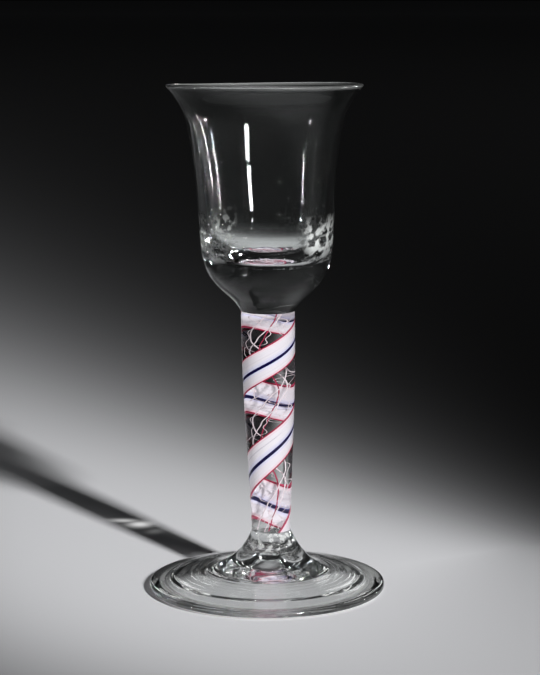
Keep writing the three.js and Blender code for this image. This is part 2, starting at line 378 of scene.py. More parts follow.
def clearGlass(name, entering, wear=0.0, clear=1.0, gleam=1.0, shade=1.0, lumps=None, rings=None):
    # smooth glass with faint waves, see-through for lamps' and diffuse rays: a lamp's ray keeps the share
    # `entering` where it goes in, and another where it comes out, less where it only grazes. wear adds
    # roughness, 1 - clear is a white film's share, gleam scales what is mirrored and shade the tint
    look = glassLook
    material, tree = newMaterial(name)
    place = objectPlace(tree)
    waves = noise(tree, place, 1 / (look["waveSize"] * mm), 1.0, 0.4)
    grain = noise(tree, place, 1 / (look["grainSize"] * mm), 2.0)
    striae = noise(tree, vectorMath(tree, "MULTIPLY", place, look["striae"]), 1.0, 2.0)
    relief = raised(tree, striae, look["striaeHeight"] * mm)
    relief = raised(tree, waves, look["waveHeight"] * mm, under=relief)
    relief = raised(tree, grain, look["grainHeight"] * mm, under=relief)
    paintedGlints = None
    if rings:
        relief = ringLines(tree, place, rings, relief)
    if lumps:
        relief, paintedGlints = unevenGlass(tree, place, lumps, relief)
    tint, tintDeep = [[share * shade for share in look[key]] for key in ("tint", "tintDeep")]
    rough = remap(tree, waves, look["smudgeFrom"], look["smudgeFull"],
                  look["roughness"] + wear, look["smudge"] + wear * look["smudgeWear"])
    # the white film and the painted white glints take their shares from the transmission
    glass = principled(tree, {
        "Base Color": rampOf(tree, waves, [(0.3, tint), (0.7, tintDeep)]), "Roughness": rough,
        "IOR": look["refraction"], "Normal": relief, "Specular Tint": (gleam, gleam, gleam, 1),
        "Transmission Weight": calculate(tree, "SUBTRACT", clear, paintedGlints) if paintedGlints else clear})
    facing = addNode(tree, "ShaderNodeLayerWeight", {"Blend": 0.5}).outputs["Facing"]
    inside = addNode(tree, "ShaderNodeNewGeometry").outputs["Backfacing"]
    sides = rampOf(tree, inside, [(0.0, (entering,) * 3), (1.0, (look["leaving"],) * 3)])
    square = remap(tree, facing, look["square"], look["grazing"], 1.0, look["grazingShare"])
    forLamps = transparent(tree, scaled(tree, sides, square))
    forDiffuse = transparent(tree, (*[look["diffuseShare"]] * 3, 1))
    path = addNode(tree, "ShaderNodeLightPath").outputs
    first = addNode(tree, "ShaderNodeMixShader", {"Fac": path["Is Diffuse Ray"], 1: glass, 2: forDiffuse})
    both = addNode(tree, "ShaderNodeMixShader",
                   {"Fac": path["Is Shadow Ray"], 1: first.outputs[0], 2: forLamps})
    setSurface(tree, both.outputs[0])
    return material


# uneven glass (mm) where the bowl's wall runs into its floor, at the stem's foot and in the neck, with
# painted white glints in the bowl and the neck
bowlLumps = {"size": 3.2, "rise": 0.08, "radius": 19.6, "low": 107, "high": 116,
             "paintedGlints": 0.95, "paintedGlintsFrom": 10}
stemLumps = {"size": 2.0, "rise": 0.05, "radius": 12, "low": 17, "high": 18}
neckLumps = {"size": 1.7, "rise": 0.06, "radius": 9.4, "low": 13, "high": 20, "paintedGlints": 0.4, "paintedGlintsFrom": -4}
footRings = {"perMetre": 1000, "perRadian": 1.3, "height": 0.026}  # lines left by the tool, height in mm

# where two gathers were fused there is no surface to see
fusedJoint, jointTree = newMaterial("fusedJoint")
setSurface(jointTree, transparent(jointTree, (1, 1, 1, 1)))
bowlGlass = clearGlass("bowlGlass", 0.3, clear=0.998, gleam=0.5, lumps=bowlLumps)
cupGlass = clearGlass("cupGlass", 0.12, gleam=0.5)
stemGlass = clearGlass("stemGlass", 0.06, lumps=stemLumps)
footGlass = clearGlass("footGlass", 0.85, lumps=neckLumps, rings=footRings)
# the rim's tint is darkened by shade: painted shade for the dark band that the folded edge shows
rimGlass = clearGlass("rimGlass", 0.2, shade=0.8, rings=footRings)
wornGlass = clearGlass("wornGlass", 0.2, wear=0.25, clear=0.97)
# the lip's white film (1 - clear) is painted highlight that brightens the rim line; its wear is roughness
lipGlass = clearGlass("lipGlass", 0.72, wear=0.12, clear=0.93)

# all canes: their glow is painted light, an emission of a share of their colour that stands in for light from
# their other faces, and refraction is against the clear glass round them
enamelLook = {
    "paintedGlow": 0.26, "refraction": 1.1, "roughnessSpread": 0.1, "bump": 0.3, "bumpHeight": 0.05,  # mm
    "streaksPerMm": 0.045, "streakDark": 0.32, "streakLight": 0.68,
    "cloudsPerMm": 0.11, "cloudsAcross": 2.2, "cloudSlice": 3.7,
}


def caneMaterial(name, look, stops, seam=None):
    # glass drawn out into a cane: a colour ramp across its width, broken by fine streaks that run along it.
    # The UV map has the height in mm along the cane, and the share of its width across
    enamel, streak, roughness, fade = enamelLook, look["streak"], look["roughness"], look.get("fade")
    material, tree = newMaterial(name)
    uv = split(tree, addNode(tree, "ShaderNodeUVMap", uv_map="along").outputs[0])
    length, across = uv["X"], uv["Y"]
    lines = combined(tree, times(tree, length, enamel["streaksPerMm"]), times(tree, across, streak["lines"]))
    clouds = combined(tree, times(tree, length, enamel["cloudsPerMm"]),
                      times(tree, across, enamel["cloudsAcross"]), enamel["cloudSlice"])
    fine = noise(tree, lines, 1.0, 4.0, 0.65)
    soft = noise(tree, clouds, 1.0, 2.0)
    shift = times(tree, calculate(tree, "SUBTRACT", soft, 0.5), streak["wander"])
    base = rampOf(tree, calculate(tree, "ADD", across, shift), stops)
    shade = rampOf(tree, fine, [(enamel["streakDark"], streak["dark"]), (0.5, (1, 1, 1)),
                                (enamel["streakLight"], streak["light"])])
    colour = mixed(tree, 1.0, base, shade, blend_type="MULTIPLY")
    if seam:
        # a hairline that shows where the share across is near seam["at"], between two heights
        near = calculate(tree, "ABSOLUTE", calculate(tree, "SUBTRACT", across, seam["at"]))
        line = remap(tree, near, seam["half"] / 2, seam["half"], 1.0, 0.0)
        low = remap(tree, length, seam["low"], seam["low"] + seam["fade"])
        high = remap(tree, length, seam["high"], seam["high"] + seam["fade"], 1.0, 0.0)
        colour = mixed(tree, times(tree, low, high, line), colour, (*seam["colour"], 1))
    if fade:
        # the colour runs out towards a height
        colour = mixed(tree, remap(tree, length, fade["low"], fade["high"]), colour, (*fade["colour"], 1))
    spread = enamel["roughnessSpread"]
    setSurface(tree, principled(tree, {
        # the emission is painted light, standing in for light that reaches the canes through their other
        # faces
        "Base Color": colour, "Emission Color": colour, "Emission Strength": enamel["paintedGlow"],
        "Roughness": remap(tree, fine, 0.0, 1.0, roughness - spread, roughness + spread),
        "Normal": raised(tree, fine, enamel["bumpHeight"] * mm, enamel["bump"]), "IOR": enamel["refraction"],
    }))
    return material


# nearRed is painted light, pink bleeding into the white from the red edge; nearBlue is a lavender tint by the
# blue
tapeLook = {
    "white": (0.545, 0.515, 0.555),
    "nearBlue": (0.46, 0.45, 0.60),
    "nearRed": (0.60, 0.42, 0.47),
    "roughness": 0.35,
    "streak": {"lines": 26.0, "wander": 0.05, "dark": (0.90, 0.86, 0.90), "light": (1.06, 1.07, 1.05)},
    "seam": {"at": 0.43, "half": 0.012, "low": 40.0, "high": 52.0, "fade": 2.0, "colour": (0.16, 0.15, 0.22)},
}
blueLook = {
    "deep": (0.004, 0.003, 0.026),
    "edge": (0.025, 0.02, 0.12),
    "roughness": 0.25,
    "streak": {"lines": 6.0, "wander": 0.05, "dark": (0.7, 0.7, 0.8), "light": (1.3, 1.3, 1.4)},
    "fade": {"low": 88.6, "high": 89.6, "colour": tapeLook["white"]},
}
redLook = {
    "deep": (0.23, 0.006, 0.028),
    "edge": (0.36, 0.05, 0.10),
    "roughness": 0.25,
    "streak": {"lines": 5.0, "wander": 0.2, "dark": (0.6, 0.5, 0.6), "light": (1.25, 1.5, 1.4)},
}
threadLook = {
    "white": (0.60, 0.56, 0.58),
    "edge": (0.55, 0.46, 0.50),
    "roughness": 0.35,
    "streak": {"lines": 5.0, "wander": 0.1, "dark": (0.85, 0.8, 0.82), "light": (1.05, 1.05, 1.05)},
}


def acrossCane(look, first, body, last, start, end):
    # one colour at each edge of a cane, and another from the share `start` to the share `end` across it
    return [(0.0, look[first]), (start, look[body]), (end, look[body]), (1.0, look[last])]


threadStops = [(0.0, threadLook["edge"]), (0.5, threadLook["white"]), (1.0, threadLook["edge"])]
upperTape = caneMaterial("whiteEnamelUpper", tapeLook,
                         acrossCane(tapeLook, "nearRed", "white", "nearBlue", 0.18, 0.70), tapeLook["seam"])
lowerTape = caneMaterial("whiteEnamelLower", tapeLook,
                         acrossCane(tapeLook, "nearBlue", "white", "nearRed", 0.28, 0.74))
blueGlass = caneMaterial("cobaltGlass", blueLook, acrossCane(blueLook, "edge", "deep", "edge", 0.2, 0.8))
redGlass = caneMaterial("rubyGlass", redLook, acrossCane(redLook, "edge", "deep", "edge", 0.3, 0.7))
threadWhite = caneMaterial("whiteEnamelThread", threadLook, threadStops)
print("materials made")


# Bowl: solid cup, thin wall and flared lip in one clear gather

bowl = {
    "rimRadius": 31.5, "rimHeight": 165.0, "lipRadius": 0.6, "lipHeading": 50,
    "waistRadius": 25.0, "flareDrop": 12.8, "waistHeading": 80,
    "shoulderRadius": 21.3, "cupRise": 21.1, "shoulderHeading": 87,
    "cupBellyRadius": 20.3, "cupBellyRise": 15.5, "cupBellyHeading": 77,
    "cupRootRadius": 12.5, "cupRootRise": 4.7, "cupRootHeading": 42, "cupHeading": 60,
    "wallAtWaist": 1.3, "wallAtShoulder": 2.4, "solidBase": 16.3, "innerWaistHeading": 75, "innerHeading": 86,
    "floorEdgeRadius": 9.5, "floorEdgeRise": 0.5, "floorEdgeHeading": 8, "cornerRise": 11.0,
}
bowlSteps = {"joint": 8, "root": 16, "belly": 28, "shoulder": 12, "wall": 36, "flare": 24, "lip": 10,
             "innerFlare": 24, "innerWall": 40, "corner": 24, "floor": 24}
# slow waves of the wall (mm), and each wave's count round, turn per mm of height, start and share
ripple = {"height": 0.03, "startRise": 6, "endRise": 2, "endDrop": 4, "fullRadius": 12,
          "waves": [(3, 0.11, 0, 1), (5, -0.23, 1.3, 0.6), (2, 0.47, 2.1, 0.5)]}
# how far the rim rises (mm): all round, with the angle's cosine and sine, and with twice the angle
rimRise = {"all": 0.5, "cosine": 0.7, "sine": 0.1, "double": -0.2, "doubleTurn": 0.5, "startHeight": 125}


def bowlOutline():
    # radius and height from under the cup up its outside, over the lip and down inside to the floor's middle
    b = bowl
    base = stem["top"]
    shoulder, waist, floor = base + b["cupRise"], b["rimHeight"] - b["flareDrop"], base + b["solidBase"]
    centre = (b["rimRadius"] - b["lipRadius"], b["rimHeight"] - b["lipRadius"])
    start = b["lipHeading"] - 90
    lip = np.radians(start)
    return drawn((0, base), [
        (stemRadius(base), base),
        (b["cupRootRadius"], base + b["cupRootRise"], b["cupHeading"], b["cupRootHeading"]),
        (b["cupBellyRadius"], base + b["cupBellyRise"], b["cupRootHeading"], b["cupBellyHeading"]),
        (b["shoulderRadius"], shoulder, b["cupBellyHeading"], b["shoulderHeading"]),
        (b["waistRadius"], waist, b["shoulderHeading"], b["waistHeading"]),
        (centre[0] + b["lipRadius"] * np.cos(lip), centre[1] + b["lipRadius"] * np.sin(lip),
         b["waistHeading"], b["lipHeading"]),
        (centre, b["lipRadius"], start, start + 180),
        (b["waistRadius"] - b["wallAtWaist"], waist, b["lipHeading"] + 180, b["innerWaistHeading"] + 180),
        (b["shoulderRadius"] - b["wallAtShoulder"], floor + b["cornerRise"],
         b["innerWaistHeading"] + 180, b["innerHeading"] + 180),
        (b["floorEdgeRadius"], floor + b["floorEdgeRise"],
         b["innerHeading"] + 180, b["floorEdgeHeading"] + 180),
        (0, floor, b["floorEdgeHeading"] + 180, 180),
    ], bowlSteps)


def bowlWobble(a, r, z):
    # the sum of the waves, fading out towards the joint with the stem, the lip and the axis
    base, rim = stem["top"], bowl["rimHeight"]
    ends = smoothShare(base, base + ripple["startRise"], z)
    ends = ends * smoothShare(rim + ripple["endRise"], rim - ripple["endDrop"], z)
    waves = sum(share * np.sin(count * a + rate * z + start) for count, rate, start, share in ripple["waves"])
    return ripple["height"] * ends * waves * smoothShare(0, ripple["fullRadius"], r)


def bowlLift(a, r, z, share):
    # the rim's rise, brought in smoothly up the wall
    rise = (rimRise["all"] + rimRise["cosine"] * np.cos(a) + rimRise["sine"] * np.sin(a)
            + rimRise["double"] * np.cos(2 * (a - rimRise["doubleTurn"])))
    return rise * smoothShare(rimRise["startHeight"], bowl["rimHeight"], z)


def startOfEach(steps):
    # the outline's step where each part of it starts
    return dict(zip(steps, np.cumsum([0, *steps.values()])))


def makeGlass(name, outline, materials, jointRows, otherRows=(), thickRows=(), wobble=None, lift=None):
    # the outline's steps take material 1 where they were fused, 2 and 3 where the glass differs, and else 0
    points, faces, rows = turnedSurface(outline, wobble, lift)
    slots = np.isin(rows, jointRows) + 2 * np.isin(rows, otherRows) + 3 * np.isin(rows, thickRows)
    return makeMesh(name, points, faces, materials, slots)


bowlRow = startOfEach(bowlSteps)
bowlSkin = makeGlass("bowl_skin", bowlOutline(), [bowlGlass, fusedJoint, lipGlass, cupGlass],
                     np.arange(bowlRow["root"]), np.arange(bowlRow["lip"] - 1, bowlRow["innerFlare"] + 1),
                     np.arange(bowlRow["root"], bowlRow["wall"]), bowlWobble, bowlLift)
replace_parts(bowlSkin, "bowl")

# tiny bubbles: radii, depth and height above the floor (mm), direction and its spread (degrees), steps left
# bare at the floor's middle, and the radius from which on they are moved outwards too (mm)
seeds = {"count": 70, "least": 0.05, "most": 0.15, "depth": 0.35, "high": 20.0, "towards": 75, "spread": 75,
         "sides": 8, "bare": 6, "wallRadius": 3, "draw": 11}


# white-grey balls: the bubbles are real, and their white is painted sparkle
def seedSparkle():
    material, tree = newMaterial("seedSparkle")
    cloud = noise(tree, objectPlace(tree), 300.0, 2.0)
    setSurface(tree, principled(tree, {
        "Base Color": rampOf(tree, cloud, [(0.3, (0.5, 0.55, 0.56)), (0.7, (0.95, 0.95, 0.93))]),
        "Roughness": remap(tree, cloud, 0.0, 1.0, 0.25, 0.45),
        "Normal": raised(tree, cloud, 0.02 * mm, 0.2)}))
    return material


def seedBubbles():
    # just under the inner surface, more of them on the right: each a ball of rings and sides,
    # from its centre x = radius sin v cos u, y = radius sin v sin u, z = radius cos v
    chance = np.random.default_rng(seeds["draw"])
    inner = bowlOutline()[bowlRow["innerWall"]:-seeds["bare"]]
    inner = inner[inner[:, 1] < stem["top"] + bowl["solidBase"] + seeds["high"]]
    spot = inner[chance.integers(0, len(inner), seeds["count"])]
    around = np.radians(chance.normal(seeds["towards"], seeds["spread"], seeds["count"]))
    far = spot[:, 0] + seeds["depth"] * (spot[:, 0] > seeds["wallRadius"])
    z = spot[:, 1] - seeds["depth"]
    middle = np.stack([axisOffset(z) + far * np.sin(around), -far * np.cos(around), z], axis=1)
    size = seeds["least"] + (seeds["most"] - seeds["least"]) * chance.random(seeds["count"]) ** 3
    n = seeds["sides"]
    u, v = np.meshgrid(np.linspace(0, fullTurn, n, endpoint=False), np.linspace(0, np.pi, n // 2 + 1)[1:-1])
    ball = np.stack([np.sin(v) * np.cos(u), np.sin(v) * np.sin(u), np.cos(v)], axis=2).reshape(-1, 3)
    ball = np.vstack([ball, [[0, 0, 1], [0, 0, -1]]])
    points = (middle[:, None, :] + size[:, None, None] * ball[None]).reshape(-1, 3)
    quads, startFan, endFan = ringFaces(n // 2 - 1, n)
    first = np.arange(seeds["count"])[:, None, None] * len(ball)
    # the rings run downwards, so every face is turned over
    faces = (first + quads[None, :, [0, 3, 2, 1]]).reshape(-1, 4).tolist()
    faces += (first + startFan[None, :, [0, 2, 1]]).reshape(-1, 3).tolist()
    faces += (first + endFan[None, :, [0, 2, 1]]).reshape(-1, 3).tolist()
    return makeMesh("seed_bubbles", points, faces, [seedSparkle()])


seedMesh = seedBubbles()
print("bowl made")


# Stem: one clear rod round the canes

rod = {"levels": 220, "ridge": 0.012, "ridgeEnds": 4, "ridgeRadius": 5,
       "ridges": [(2, 0, 1), (5, 0.8, 0.6)]}  # ridge height (mm), and each kind's count, start and share


def stemOutline():
    # the joint with the foot, the stem's radius at each height, and the joint with the bowl
    z = np.linspace(stem["bottom"], stem["top"], rod["levels"] + 1)
    path = lineTo(np.array([[0.0, stem["bottom"]]]), stemRadius(stem["bottom"]), stem["bottom"], capSteps)
    path = np.vstack([path, np.stack([stemRadius(z[1:]), z[1:]], axis=1)])
    return lineTo(path, 0, stem["top"], capSteps)


def stemWobble(a, r, z):
    # shallow ridges that wind with the canes, gone at both ends: a sum of cosines of the angle less the twist
    low, high = stem["bottom"], stem["top"]
    ends = smoothShare(low, low + rod["ridgeEnds"], z) * smoothShare(high, high - rod["ridgeEnds"], z)
    wound = a - twist(z)
    ridges = sum(share * np.cos(count * wound + start) for count, start, share in rod["ridges"])
    return rod["ridge"] * ends * ridges * smoothShare(0, rod["ridgeRadius"], r)


capRows = np.append(np.arange(capSteps), capSteps + rod["levels"] + np.arange(capSteps))
stemSkin = makeGlass("stem_skin", stemOutline(), [stemGlass, fusedJoint], capRows, wobble=stemWobble)
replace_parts(stemSkin, "stem_casing", "stem_core")
print("stem made")


# Foot: folded edge, hollow cone and neck

foot = {
    "radius": 38.8, "edgeHeight": 2.8, "edgeRound": 0.7, "edgeBulge": 1.6,
    "restRingOuter": 35.0, "restRingWidth": 1.6, "underEdgeHeading": 12,
    "foldWidth": 6.4, "foldRise": 0.3, "foldEdgeRound": 6.0,
    "brimHeight": 3.9, "brimHeading": 168, "brimStep": 1.9,
    "coneHeight": 4.7, "coneHeading": 167, "coneWall": 1.9,
    "flareRadius": 13.0, "flareHeight": 10.2, "flareHeading": 139, "neckHeading": 112,
    "kickHeight": 8.6, "kickRadius": 9.0, "kickBase": 5.0, "kickSlope": -50, "kickHeading": -6,
    "pontilRadius": 3.0, "pontilHeight": 0.6,
}
footSteps = {"pontil": 6, "pontilEdge": 4, "kick": 16, "under": 40, "fold": 4, "flat": 8, "rest": 4,
             "edgeUnder": 12, "edgeTop": 10, "brim": 16, "step": 16, "cone": 56, "neck": 28,
             "joint": capSteps}
# rings left by the tool (mm): height, spacing of two kinds, share of the second, and how far off centre. They
# begin and end at shares of the outline and begin at a radius
toolRings = {"height": 0.032, "wide": 1.9, "narrow": 1.1, "narrowShare": 0.7, "off": 0.25, "offTurn": 0.7,
             "upper": (0.58, 0.62), "lower": (0.99, 0.97), "radius": (12, 15), "faded": 0.35}


def footOutline():
    # radius and height from the pontil mark under the hollow out to the rest ring, round the edge and up the
    # cone to the joint with the stem
    f = foot
    foldInner = f["radius"] - f["foldWidth"]
    edgeInner = f["radius"] - f["edgeRound"]
    under = f["coneHeading"] + 180
    neck = stem["bottom"]
    pontil = f["kickHeight"] - f["pontilHeight"]
    return drawn((0, pontil), [
        (f["pontilRadius"], pontil),
        (f["pontilRadius"] + f["pontilHeight"], f["kickHeight"]),
        (f["kickRadius"], f["kickBase"], f["kickSlope"], f["kickHeading"]),
        (foldInner - f["foldEdgeRound"], f["brimHeight"] - f["coneWall"], f["kickHeading"], under),
        (foldInner, f["foldRise"]),
        (f["restRingOuter"] - f["restRingWidth"], 0),
        (f["restRingOuter"], 0),
        (f["radius"], f["edgeBulge"], f["underEdgeHeading"], 90),
        (edgeInner, f["edgeHeight"], 90, f["brimHeading"]),
        (foldInner, f["brimHeight"], f["brimHeading"], f["brimHeading"]),
        (foldInner - f["brimStep"], f["coneHeight"], f["brimHeading"], f["coneHeading"]),
        (f["flareRadius"], f["flareHeight"], f["coneHeading"], f["flareHeading"]),
        (stemRadius(neck), neck, f["flareHeading"], f["neckHeading"]),
        (0, neck),
    ], footSteps)


def footLift(a, r, z, share):
    # tool rings on the upper side, a little off centre: two sines of the radius, faded by waves round it
    t = toolRings
    upper = smoothShare(*t["upper"], share) * smoothShare(*t["radius"], r) * smoothShare(*t["lower"], share)
    ring = fullTurn * (r + t["off"] * np.sin(a + t["offTurn"]))
    fade = 1 - t["faded"] + t["faded"] * np.sin(3 * a + 0.9 * r) * np.sin(2 * a - 0.4 * r + 1)
    rings = np.sin(ring / t["wide"]) + t["narrowShare"] * np.sin(ring / t["narrow"] + 1)
    return t["height"] * upper * fade * rings


# the rim's glass reaches half up the brim, and the foot is worn on half its flat and on the rest ring
footRow = startOfEach(footSteps)
rimRows = np.arange(footRow["edgeUnder"], footRow["brim"] + footSteps["brim"] // 2)
wornRows = np.append(np.arange(footRow["flat"], footRow["flat"] + footSteps["flat"] // 2),
                     np.arange(footRow["rest"], footRow["edgeUnder"]))
footSkin = makeGlass("foot_skin", footOutline(), [footGlass, fusedJoint, rimGlass, wornGlass],
                     footRow["joint"] + np.arange(capSteps), rimRows, wornRows, lift=footLift)
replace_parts(footSkin, "foot")
print("foot made")


# Canes wound round the stem, just under its surface

canes = {
    "casingWall": 0.7, "fitGap": 0.3, "thickness": 0.85, "levels": 420, "edgeRound": 0.16, "edgePower": 6,
    "top": 92.4, "bottom": 19.7,
    "blueWidth": 1.35, "redWidth": 0.62, "upperWhiteWidth": 8.5, "lowerWhiteWidth": 6.4,
}


def coreRadius(z):
    # the stem's radius less the casing and the gap that the solids leave
    return stemRadius(z) - canes["casingWall"] - canes["fitGap"]


def widthAngle(width):
    # a width round the core where the stem is widest, as an angle
    return width / coreRadius(stem["swellHeight"])


def turnPerMm(z):
    # how far the twist turns from half a mm below to half a mm above
    return twist(z + 0.5) - twist(z - 0.5)


def sideGap(z):
    # the solids' clearance beside a cane as an angle: gap times the slant of the helix, over the radius
    r = coreRadius(z)
    return canes["fitGap"] * np.hypot(1, r * turnPerMm(z)) / r


def helixPoint(radius, angle, z):
    # x = offset(z) + r sin a, y = -r cos a
    z = np.broadcast_to(z, angle.shape)
    return np.stack([axisOffset(z) + radius * np.sin(angle), -radius * np.cos(angle), z], axis=-1)


def ribbon(node, material, fromAngle, fromGaps, toAngle, toGaps, steps):
    # a flat cane between two angles that turn with the twist, each moved by so many side gaps, its two faces
    # drawn in at the edges by a rounding times (the distance from the middle, 1 at the edge) to a power
    z = np.linspace(canes["bottom"], canes["top"], canes["levels"] + 1)[:, None]
    gap = sideGap(z)
    start = twist(z) + fromAngle + fromGaps * gap
    end = twist(z) + toAngle + toGaps * gap
    share = np.linspace(0, 1, steps + 1)
    angle = start + (end - start) * share
    drawnIn = canes["edgeRound"] * np.abs(2 * share - 1) ** canes["edgePower"]
    outer = helixPoint(coreRadius(z) - drawnIn, angle, z)
    inner = helixPoint(coreRadius(z) - canes["thickness"] + drawnIn, angle, z)
    section = np.concatenate([outer, inner[:, ::-1]], axis=1)
    piece = makeTube(node + "_cane", section, z, np.concatenate([share, share[::-1]]), material)
    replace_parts(piece, node)


blueHalf = widthAngle(canes["blueWidth"]) / 2
red = widthAngle(canes["redWidth"])
upperEnd = blueHalf + widthAngle(canes["upperWhiteWidth"])
lowerEnd = blueHalf + widthAngle(canes["lowerWhiteWidth"])
ribbon("red_edge_upper", redGlass, -upperEnd - red, -1.7, -upperEnd, -1.5, 6)
ribbon("white_tape_upper", upperTape, -upperEnd, -1.5, -blueHalf, -0.5, 20)
ribbon("blue_thread", blueGlass, -blueHalf, -0.5, blueHalf, 0.5, 8)
ribbon("white_tape_lower", lowerTape, blueHalf, 0.5, lowerEnd, 1.5, 18)
ribbon("red_edge_lower", redGlass, lowerEnd, 1.5, lowerEnd + red, 1.7, 6)

# round canes (mm, degrees): a second sway is secondRate times as fast, and the cane moves in and out by
# inAndOut of its distance for each degree of sway
threads = {"radius": 0.15, "sides": 10, "levels": 520, "sway": 3.0, "period": 7.0,
           "secondRate": 2.3, "secondShare": 0.5, "inAndOut": 0.012, "inAndOutRate": 0.7}


def thread(name, slot, material, distance, degrees, radius=threads["radius"], sway=threads["sway"],
           period=threads["period"]):
    # a round cane whose centre turns with the twist at a share of the stem's radius, its sections level, and
    # sways by sway times (the sine of its phase plus secondShare times the sine of the second sway's)
    z = np.linspace(canes["bottom"], canes["top"], threads["levels"] + 1)[:, None]
    far = distance * stemRadius(z) / stem["topRadius"]
    phase = fullTurn * z / period + degrees
    swing = np.sin(phase) + threads["secondShare"] * np.sin(threads["secondRate"] * phase + distance)
    middle = twist(z) + np.radians(degrees + sway * swing)
    far = far * (1 + threads["inAndOut"] * sway * np.cos(threads["inAndOutRate"] * phase))
    slant = np.hypot(1, far * turnPerMm(z))
    turn = np.linspace(0, fullTurn, threads["sides"], endpoint=False)
    outward = far + radius * np.cos(turn)
    sideways = radius * slant * np.sin(turn)
    x = outward * np.sin(middle) + sideways * np.cos(middle)
    y = -outward * np.cos(middle) + sideways * np.sin(middle)
    height = np.broadcast_to(z, x.shape)
    section = np.stack([axisOffset(height) + x, y, height], axis=-1)
    piece = makeTube(name + "_cane", section, z, 0.5 + 0.5 * np.cos(turn), material)
    return piece


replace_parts(thread("white_thread_a", "white_enamel", threadWhite, 3.9, 154), "white_thread_a")
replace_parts(thread("white_thread_b", "white_enamel", threadWhite, 3.9, 217), "white_thread_b")
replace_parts(thread("inner_red_thread", "ruby_glass", redGlass, 2.1, 228), "inner_red_thread")

# loose filaments of the same white round the threads: distance from the axis, degrees, radius, sway, period
filaments = [
    (5.0, 186, 0.07, 14, 9.5),
    (5.5, 246, 0.08, 18, 7.5),
    (4.7, -34, 0.09, 26, 6.5),
    (5.0, 8, 0.11, 30, 8.0),
    (4.5, 38, 0.09, 24, 5.5),
]
for number, filament in enumerate(filaments, 1):
    thread(f"filament_{number}", "white_enamel", threadWhite, *filament)
print("canes made")


# Floor: one large sheet of pale paper, with a pool of light painted into its grey that dies away to the back
# and right

# metres. The fades paint the light pool: each runs from 1 to 0 past its edge, over a softness, and the light
# falls along `along`
floorLook = {
    "half": 60.0, "level": -0.00005, "pale": 0.89, "cool": (0.98, 0.984, 1.012),
    "across": (0.859, 0.512, 0), "along": (-0.512, 0.859, 0),
    "edge": 0.1047, "edgeTurn": -0.055, "softness": 0.0127, "softening": 0.0914, "nearSoftening": 0.66,
    "front": -0.134, "frontSoftness": 0.030, "frontTurn": 0.775, "frontLeast": 0.12,
    "nearEnd": -0.20, "nearEndSoftness": 0.02,
    "leftEnd": -0.121, "leftEndTurn": 0.168, "leftEndSoftness": 0.015, "endLeast": 0.06,
    "least": 0.0022, "leastRise": 0.0059, "leastLimit": 20.0,
    "fibres": 900.0, "mottle": (0.985, 1.015), "bump": 0.2, "bumpHeight": 0.00005, "roughness": 0.9,
}
# painted light: pools of light that the stem gathers in its own shadow, painted on the paper as glow: x, y,
# half length, half width (m), turn (degrees), strength
paintedPools = {
    "pool": (-0.0472, 0.0848, 0.0042, 0.0042, -17, 0.66),
    "tail": (-0.0535, 0.0905, 0.0052, 0.0026, -8, 0.45),
    "trace": (-0.0410, 0.0746, 0.0030, 0.0042, -30, 0.09),
}
# and painted rings of light that the foot's folded edge gathers: radius, half width (m), strength, lit side
# (degrees)
paintedPoolRings = {"broad": (0.0362, 0.0017, 0.42, 38), "fine": (0.0322, 0.0004, 0.50, 20)}
litSpread = 0.35  # how far past square to the light a ring still fades, as a cosine


def fadePast(tree, value, edge, softness):
    # 1 over 1 plus e to the (value less its edge, over the softness)
    past = calculate(tree, "DIVIDE", calculate(tree, "SUBTRACT", value, edge), softness)
    return calculate(tree, "DIVIDE", 1.0, calculate(tree, "ADD", 1.0, calculate(tree, "EXPONENT", past)))


def paintedLightLevel(tree, place):
    # the paper's grey with the light pool painted in: pale times the painted fades across the light, towards
    # the front and at its own ends outside the picture, plus a least grey that grows towards the back
    f = floorLook
    along = dotted(tree, place, f["along"])
    back = split(tree, place)["Y"]
    beyond = calculate(tree, "MAXIMUM", along, 0.0)
    before = calculate(tree, "MAXIMUM", times(tree, along, -1.0), 0.0)
    softness = calculate(tree, "ADD", times(tree, beyond, f["softening"]), f["softness"])
    softness = calculate(tree, "ADD", times(tree, before, f["nearSoftening"]), softness)
    edge = calculate(tree, "ADD", times(tree, beyond, f["edgeTurn"]), f["edge"])
    side = fadePast(tree, dotted(tree, place, f["across"]), edge, softness)
    front = fadePast(tree, f["front"], dotted(tree, place, (f["frontTurn"], 1, 0)), f["frontSoftness"])
    near = fadePast(tree, f["nearEnd"], back, f["nearEndSoftness"])
    left = fadePast(tree, f["leftEnd"], dotted(tree, place, (1, f["leftEndTurn"], 0)), f["leftEndSoftness"])
    front = remap(tree, front, 0.0, 1.0, f["frontLeast"])
    ends = remap(tree, times(tree, near, left), 0.0, 1.0, f["endLeast"])
    far = calculate(tree, "MINIMUM", calculate(tree, "MAXIMUM", back, 0.0), f["leastLimit"])
    least = calculate(tree, "ADD", times(tree, far, f["leastRise"]), f["least"])
    return calculate(tree, "ADD", times(tree, side, times(tree, front, ends), f["pale"]), least)


def bell(tree, squares, strength):
    # strength times e to the minus squares
    return times(tree, calculate(tree, "EXPONENT", times(tree, squares, -1.0)), strength)


